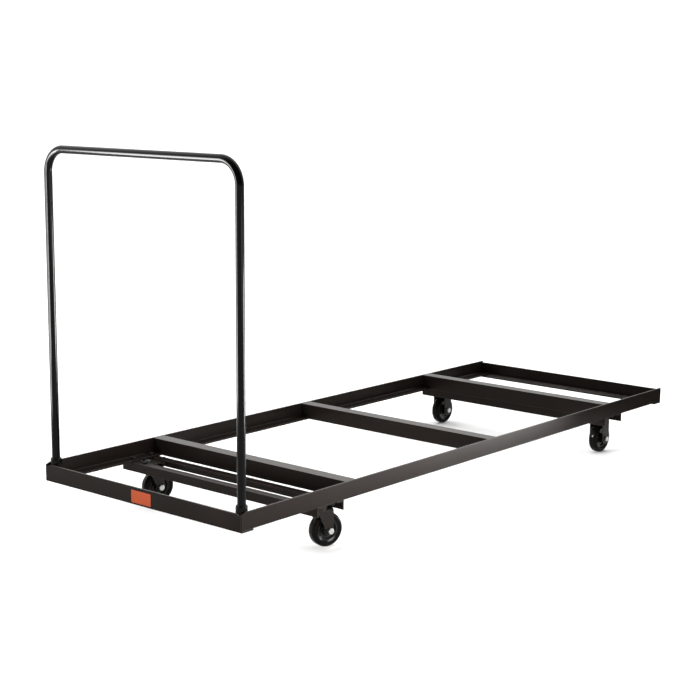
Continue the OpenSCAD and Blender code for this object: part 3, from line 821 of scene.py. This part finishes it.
class TROLLEY_OT_handle(bpy.types.Operator):
    """Bent tube of the push handle and its two sockets"""

    bl_idname = "trolley.handle"
    bl_label = "Push handle"

    def execute(self, context):
        sizes = context.scene.trolley_sizes
        low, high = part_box("push_handle")
        (x, _), radius = round_of(low, high)
        y = high.y - radius
        top = high.z - radius
        path = [(x, -y, low.z), (x, -y, top), (x, y, top), (x, y, low.z)]
        tube = grown("push_handle_tube", lines("handle_path", [path]), tube_tree(), Radius=radius,
                     Bend=sizes.bend_radius, Sides=sizes.tube_steps, Steps=sizes.bend_steps,
                     Material=finish("gloss_coat"))
        put(shaded(tube), "gloss_coat", replaces=["push_handle"])
        for side in SIDES:
            self.socket("handle_socket_" + side, radius, sizes)
        return {"FINISHED"}

    def socket(self, node, tube_radius, sizes):
        """Sleeve with a rounded lip."""
        low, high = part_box(node)
        middle, outer = round_of(low, high)
        bore = tube_radius + SOCKET_CLEARANCE
        rise = high.z - low.z
        outline = filleted([(bore, 0.0, 0.0), (outer, 0.0, SOCKET_EASE["foot"]),
                            (outer, rise, SOCKET_EASE["lip"]), (bore, rise, SOCKET_EASE["bore"])], ROUND_STEPS)
        sleeve = turned("lipped_" + node, outline, Vector((*middle, low.z)), Z_AXIS, sizes.turn_steps // 2)
        put(sleeve, "gloss_coat", replaces=[node])


class TROLLEY_OT_welds(bpy.types.Operator):
    """Weld beads where the angles, sockets and rigid forks join"""

    bl_idname = "trolley.welds"
    bl_label = "Weld beads"

    # Where beads stop short of an edge or sink into a face, in metres
    TOP_GAP = 0.002
    BOLSTER_GAP = 0.004
    SOCKET_GAP = 0.003
    FORK_INSET = 0.004
    FORK_SINK = 0.0006

    def execute(self, context):
        sizes = context.scene.trolley_sizes
        rail_low, rail_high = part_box("side_rail_left")
        self.end_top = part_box("end_rail_handle")[1].z
        self.steel = rail_high.z - self.end_top
        self.bed = rail_low.z + self.steel
        self.flange_y = rail_low.y
        self.wall_y = rail_high.y - self.steel
        self.under = rail_low.z
        paths = []
        for node in CROSS_MEMBERS:
            paths += self.cross_member(node)
        for node in BOLSTERS:
            paths += self.bolster(node)
        for side, way in zip(SIDES, (1, -1)):
            paths += [self.corner(end * (rail_high.x - self.steel), way, self.end_top) for end in (1, -1)]
            paths += self.socket(side, way)
            paths += self.rigid_fork(side)
        beads = grown("weld_beads", lines("weld_paths", paths), bead_tree(), Radius=sizes.bead_radius,
                      Pitch=sizes.bead_pitch, Depth=sizes.bead_depth, Material=finish("powder_coat"))
        put(shaded(beads, 60.0), "powder_coat")
        return {"FINISHED"}

    def corner(self, x, way, top):
        """Across a side rail's flange and up its wall."""
        wall = way * self.wall_y
        return [(x, way * self.flange_y, self.bed), (x, wall, self.bed), (x, wall, top)]

    def cross_member(self, node):
        """Both faces of the leg against a side rail's flange and wall, and the flange's end under its top."""
        low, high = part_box(node)
        face, tuck = low.x + self.steel, high.z - self.steel
        paths = []
        for way in (1, -1):
            wall = way * self.wall_y
            paths += [self.corner(low.x, way, high.z - self.TOP_GAP), self.corner(face, way, tuck),
                      [(face, wall, tuck), (high.x, wall, tuck)]]
        return paths

    def bolster(self, node):
        """Across the bolster's top along each side rail's flange, and along its back under the rail."""
        low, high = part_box(node)
        back = low.x if node.endswith("front") else high.x
        paths = []
        for way in (1, -1):
            flange, end = way * self.flange_y, way * (high.y - self.BOLSTER_GAP)
            paths += [[(low.x, flange, self.under), (high.x, flange, self.under)],
                      [(back, flange, self.under), (back, end, self.under)]]
        return paths

    def socket(self, side, way):
        """Ring round the foot of a socket and upright beads to the corner's two walls."""
        (x, y), radius = round_of(*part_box("handle_socket_" + side))
        ring = [(*p, self.bed) for p in arc((x, y), radius, 0.0, 360.0, RING_STEPS)]
        top = self.end_top - self.SOCKET_GAP
        return [ring, [(x - radius, y, self.bed), (x - radius, y, top)],
                [(x, y + way * radius, self.bed), (x, y + way * radius, top)]]

    def rigid_fork(self, side):
        """Round the crown of a rigid fork under its plate."""
        low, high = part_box("rigid_fork_" + side)
        y0, y1 = low.y + self.FORK_INSET, high.y - self.FORK_INSET
        z = high.z - self.FORK_SINK
        return [[(low.x, y0, z), (high.x, y0, z), (high.x, y1, z), (low.x, y1, z), (low.x, y0, z)]]


class TROLLEY_OT_wheels(bpy.types.Operator):
    """Crowned tyres and recessed hubs, turned about their axles"""

    bl_idname = "trolley.wheels"
    bl_label = "Wheels"

    def execute(self, context):
        sizes = context.scene.trolley_sizes
        for wheel in WHEELS:
            self.tyre(wheel, sizes)
            self.hub(wheel, sizes)
            carry_over("bush_" + wheel, "sintered_bronze")
        return {"FINISHED"}

    def tyre(self, wheel, sizes):
        """Crowned tread that runs into round shoulders, on the hub's rim."""
        radius, _, half = about_axle("tyre", wheel)
        rim = about_axle("hub", wheel)[0]
        crown, shoulder, lip = sizes.tread_crown, sizes.tread_shoulder, sizes.tyre_lip
        hollow = radius - crown
        middle = hollow + math.sqrt((crown - shoulder) ** 2 - (half - shoulder) ** 2)
        lean = math.degrees(math.atan2(half - shoulder, middle - hollow))
        outline = [(rim, -half + sizes.lip_drop), (rim + lip, -half)]
        outline += arc((middle, -half + shoulder), shoulder, -90.0, -lean, ROUND_STEPS)
        outline += arc((hollow, 0.0), crown, -lean, lean, ROUND_STEPS)[1:]
        outline += arc((middle, half - shoulder), shoulder, lean, 90.0, ROUND_STEPS)[1:]
        outline += [(rim + lip, half), (rim, half - sizes.lip_drop)]
        mesh = turned("crowned_tyre_" + wheel, outline, *axle_of(wheel), sizes.turn_steps)
        put(mesh, "tyre_rubber", "wheel_" + wheel, ["tyre_" + wheel])

    def hub(self, wheel, sizes):
        """Rim, sloped recess, web and long boss, each edge eased."""
        rim, _, half = about_axle("hub", wheel)
        bore = about_axle("bush", wheel)[0]
        tyre_half = about_axle("tyre", wheel)[2]
        boss, lip = sizes.boss_radius, rim - sizes.rim_land
        recess = lip - sizes.rim_slope
        rim_half, web_half = tyre_half - sizes.rim_drop, sizes.hub_web
        land = rim_half - sizes.dish_drop
        one_side = [
            (rim, rim_half, HUB_EASE["rim"]), (rim - sizes.rim_dish, land, HUB_EASE["land"]),
            (lip, land, HUB_EASE["land"]), (recess, web_half, HUB_EASE["web"]), (boss, web_half, HUB_EASE["web"]),
            (boss, half, HUB_EASE["boss"]), (bore, half, HUB_EASE["bore"])]
        other_side = [(r, -a, f) for r, a, f in reversed(one_side)]
        mesh = turned("recessed_hub_" + wheel, filleted(one_side + other_side), *axle_of(wheel), sizes.turn_steps)
        put(mesh, "hub_plastic", "wheel_" + wheel, ["hub_" + wheel])


class TROLLEY_OT_casters(bpy.types.Operator):
    """Forks, plates and swivel heads of the casters"""

    bl_idname = "trolley.casters"
    bl_label = "Casters"

    def execute(self, context):
        sizes = context.scene.trolley_sizes
        steel = ("pressed_", sizes.sheet_round, "caster_enamel", "caster_black")
        for side in SIDES:
            dress("swivel_fork_" + side, *steel, "swivel_" + side)
            for kind in ("swivel_plate_", "rigid_plate_", "rigid_fork_"):
                dress(kind + side, *steel)
            for kind in ("kingpin_", "kingpin_washer_", "kingpin_nut_"):
                dress(kind + side, "eased_", sizes.pin_round, "plain_steel", "steel")
            carry_over("swivel_balls_" + side, "plain_steel")
        for wheel in WHEELS:
            carry_over("axle_sleeve_" + wheel, "plain_steel")
        return {"FINISHED"}


class TROLLEY_OT_fasteners(bpy.types.Operator):
    """Axle bolts and nuts, and the rows of plate bolts, washers and nuts"""

    bl_idname = "trolley.fasteners"
    bl_label = "Fasteners"

    def execute(self, context):
        for wheel in WHEELS:
            self.axle(wheel)
        self.plate_rows(context.scene.trolley_sizes)
        return {"FINISHED"}

    def axle(self, wheel):
        """Hex bolt with its head on the right and its nut on the left, on the fork that swivels or on the frame."""
        end, side = wheel.split("_")
        body = "swivel_" + side if end == "handle" else ROOT
        origin, axis = axle_of(wheel)
        corner, head_end, bolt_end = about_axle("axle_bolt", wheel)
        nut_seat, nut_end = about_axle("axle_nut", wheel)[1:]
        shank = about_axle("axle_sleeve", wheel)[0] - SLEEVE_WALL
        across = 2 * corner * math.cos(math.pi / 6)
        bolt = bolt_mesh("hex_axle_bolt_" + wheel, across, -head_end - nut_seat, shank, bolt_end + nut_seat)
        nut = nut_mesh("hex_axle_nut_" + wheel, across, nut_end - nut_seat, shank)
        for mesh, way, node in ((bolt, -axis, "axle_bolt_"), (nut, axis, "axle_nut_")):
            put(placed(mesh, origin + way * nut_seat, way), "bright_zinc", body, [node + wheel])

    def plate_rows(self, sizes):
        """Bolts from above, washers and nuts from below, one mesh for each kind."""
        bolts = solids_of("plate_bolts")
        washer_low, washer_high = solids_of("plate_washers")[0]
        nut_low, nut_high = solids_of("plate_nuts")[0]
        across = min(nut_high.x - nut_low.x, nut_high.y - nut_low.y)
        shank, head = sizes.plate_bolt, sizes.plate_head
        spots = [round_of(*box)[0] for box in bolts]
        seats = [high.z - head for _, high in bolts]
        foot = bolts[0][0].z
        tree = scatter_tree()
        bm = bmesh.new()
        for level in (max(seats), min(seats)):
            chosen = [p for p, s in zip(spots, seats) if abs(s - level) < MERGE * 10]
            bolt = bolt_mesh("bolt", across, head, shank, level - foot)
            bm.from_mesh(self.row("plate_bolts_row", chosen, level, bolt, tree))
        nut = nut_mesh("nut", across, nut_high.z - nut_low.z, shank)
        nuts = self.row("hex_plate_nuts", spots, nut_low.z, nut, tree)
        outer = round_of(washer_low, washer_high)[1]
        bore = shank + WASHER_CLEARANCE
        thick = washer_high.z - washer_low.z
        outline = filleted([(bore, 0.0, WASHER_EASE["bore"]), (outer, 0.0, WASHER_EASE["rim"]),
                            (outer, thick, WASHER_EASE["rim"]), (bore, thick, WASHER_EASE["bore"])], 2)
        washer = turned("washer", outline, Vector(), Z_AXIS, WASHER_STEPS)
        washers = self.row("flat_plate_washers", spots, washer_low.z, washer, tree)
        for mesh, node in ((mesh_of("hex_plate_bolts", bm), "plate_bolts"), (shaded(nuts), "plate_nuts"),
                           (shaded(washers), "plate_washers")):
            put(mesh, "black_oxide", replaces=[node])

    def row(self, name, spots, level, mesh, tree):
        """Copies of a fastener at each spot, at one level."""
        points = bpy.data.meshes.new(name + "_points")
        points.from_pydata([(x, y, 0.0) for x, y in spots], [], [])
        lift = points.attributes.new("lift", "FLOAT", "POINT")
        lift.data.foreach_set("value", [level] * len(spots))
        source = linked(name + "_source", mesh)
        made = grown(name, points, tree, Fastener=source, Material=finish("black_oxide"))
        bpy.data.objects.remove(source)
        return made


class TROLLEY_OT_sticker(bpy.types.Operator):
    """Plain orange sticker on the handle-end rail"""

    bl_idname = "trolley.sticker"
    bl_label = "Sticker"

    def execute(self, context):
        sizes = context.scene.trolley_sizes
        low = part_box("end_rail_handle")[0]
        half = sizes.sticker_w / 2
        corner = sizes.sticker_corner
        outline = filleted([(-half, 0.0, corner), (half, 0.0, corner),
                            (half, sizes.sticker_h, corner), (-half, sizes.sticker_h, corner)])
        base = low.z + sizes.sticker_z
        rings = []
        for x in (low.x, low.x - sizes.sticker_t):
            rings.append([(x, sizes.sticker_y + y, base + z) for y, z in outline])
        put(skinned("plain_sticker", rings), "sticker_vinyl")
        return {"FINISHED"}


class TROLLEY_OT_stage(bpy.types.Operator):
    """Pale floor, dark flag, soft light and the camera"""

    bl_idname = "trolley.stage"
    bl_label = "Stage"

    SENSOR_MM = 36.0
    VIEW_DEPTH = 200.0

    def execute(self, context):
        scene = context.scene
        stage = scene.trolley_stage
        scene.view_settings.view_transform = "Standard"
        self.floor(stage)
        self.flag(stage)
        scene.world = self.sky(stage)
        scene.camera = self.camera(stage)
        for light in LIGHTS:
            self.light(light, getattr(stage, light.power))
        return {"FINISHED"}

    def sheet(self, name, corners):
        """One flat sheet of the stage."""
        mesh = bpy.data.meshes.new(name)
        mesh.from_pydata(corners, [], [(0, 1, 2, 3)])
        mesh.materials.append(finish(name))
        made = linked(name, mesh)
        return made

    def floor(self, stage):
        """Large level floor."""
        half = stage.floor_size / 2
        self.sheet("pale_floor", [(-half, -half, 0), (half, -half, 0), (half, half, 0), (-half, half, 0)])

    def flag(self, stage):
        """Dark flag beside the far end that only mirrored rays meet; it shades the end of the side rail."""
        near, far = FLAG_ENDS
        height = stage.flag_height
        flag = self.sheet("dark_flag", [(*near, 0.0), (*far, 0.0), (*far, height), (*near, height)])
        flag.visible_camera = flag.visible_diffuse = flag.visible_shadow = False

    def sky(self, stage):
        """White behind the trolley and overhead, dim on the camera's side."""
        world = bpy.data.worlds.new("studio")
        world.use_nodes = True
        sky = Graph(world.node_tree)
        away = Vector((math.sin(stage.camera_yaw), math.cos(stage.camera_yaw), 0.0))
        where = sky.node("ShaderNodeTexCoord", out="Generated")
        facing = sky.node("ShaderNodeVectorMath", {0: where, 1: away}, "Value", operation="DOT_PRODUCT")
        rise = sky.node("ShaderNodeSeparateXYZ", {0: where}, 2)
        low, high = 0.2, 0.6
        behind = sky.band(rise, low, high, stage.sky, stage.overhead)
        near, far = -0.45, 0.3
        level = sky.band(facing, near, far, stage.dim, behind)
        background = next(n for n in world.node_tree.nodes if n.bl_idname == "ShaderNodeBackground")
        background.inputs["Color"].default_value = (1.0, 1.0, 1.0, 1.0)
        sky.feed(background.inputs["Strength"], level)
        return world

    def light(self, light, watts):
        """Soft rectangular light aimed at a point."""
        lamp = bpy.data.lights.new(light.name, "AREA")
        lamp.shape = "RECTANGLE"
        lamp.size, lamp.size_y = light.size
        lamp.energy = watts
        lamp.spread = math.radians(light.beam)
        made = linked(light.name, lamp)
        made.location = light.place
        made.rotation_euler = (Vector(light.aim) - Vector(light.place)).to_track_quat("-Z", "Y").to_euler()

    def camera(self, stage):
        """Camera at the photograph's angle."""
        lens = bpy.data.cameras.new("camera")
        lens.sensor_width = self.SENSOR_MM
        lens.lens = stage.lens
        lens.clip_end = self.VIEW_DEPTH
        made = linked("camera", lens)
        yaw, pitch = stage.camera_yaw, stage.camera_pitch
        ahead = Vector((math.sin(yaw) * math.cos(pitch), math.cos(yaw) * math.cos(pitch), -math.sin(pitch)))
        right = Vector((math.cos(yaw), -math.sin(yaw), 0.0))
        up = right.cross(ahead)
        roll = Matrix.Rotation(-stage.camera_roll, 3, ahead)
        right, up = roll @ right, roll @ up
        turn = Matrix((right, up, -ahead)).transposed()
        made.matrix_world = Matrix.Translation(stage.camera_at) @ turn.to_4x4()
        return made


class TROLLEY_PT_panel(bpy.types.Panel):
    """Lists the pieces of the trolley"""

    bl_idname = "TROLLEY_PT_panel"
    bl_label = "Banquet table trolley"
    bl_space_type = "VIEW_3D"
    bl_region_type = "UI"
    bl_category = "Trolley"

    def draw(self, context):
        for operator in OPERATORS:
            self.layout.operator(operator.bl_idname)
        for group in GROUPS:
            settings = getattr(context.scene, group)
            for name in settings.bl_rna.properties.keys():
                if name not in ("rna_type", "name"):
                    self.layout.prop(settings, name)


OPERATORS = (
    TROLLEY_OT_stage, TROLLEY_OT_deck, TROLLEY_OT_handle, TROLLEY_OT_welds, TROLLEY_OT_wheels,
    TROLLEY_OT_casters, TROLLEY_OT_fasteners, TROLLEY_OT_sticker,
)
GROUPS = {
    "trolley_sizes": TrolleySizes,
    "trolley_finishes": TrolleyFinishes,
    "trolley_stage": StageSettings,
}


def register():
    """Registers the classes and hangs the settings on the scene."""
    for cls in (*GROUPS.values(), *OPERATORS, TROLLEY_PT_panel):
        bpy.utils.register_class(cls)
    for name, group in GROUPS.items():
        setattr(bpy.types.Scene, name, PointerProperty(type=group))


def unregister():
    """Takes the settings and the classes away again."""
    for name in GROUPS:
        delattr(bpy.types.Scene, name)
    for cls in (TROLLEY_PT_panel, *reversed(OPERATORS), *reversed(list(GROUPS.values()))):
        bpy.utils.unregister_class(cls)


def main():
    """Dresses the trolley piece by piece."""
    register()
    bpy.ops.trolley.stage()
    bpy.ops.trolley.deck()
    bpy.ops.trolley.handle()
    bpy.ops.trolley.welds()
    bpy.ops.trolley.wheels()
    bpy.ops.trolley.casters()
    bpy.ops.trolley.fasteners()
    bpy.ops.trolley.sticker()


if __name__ == "__main__":
    main()
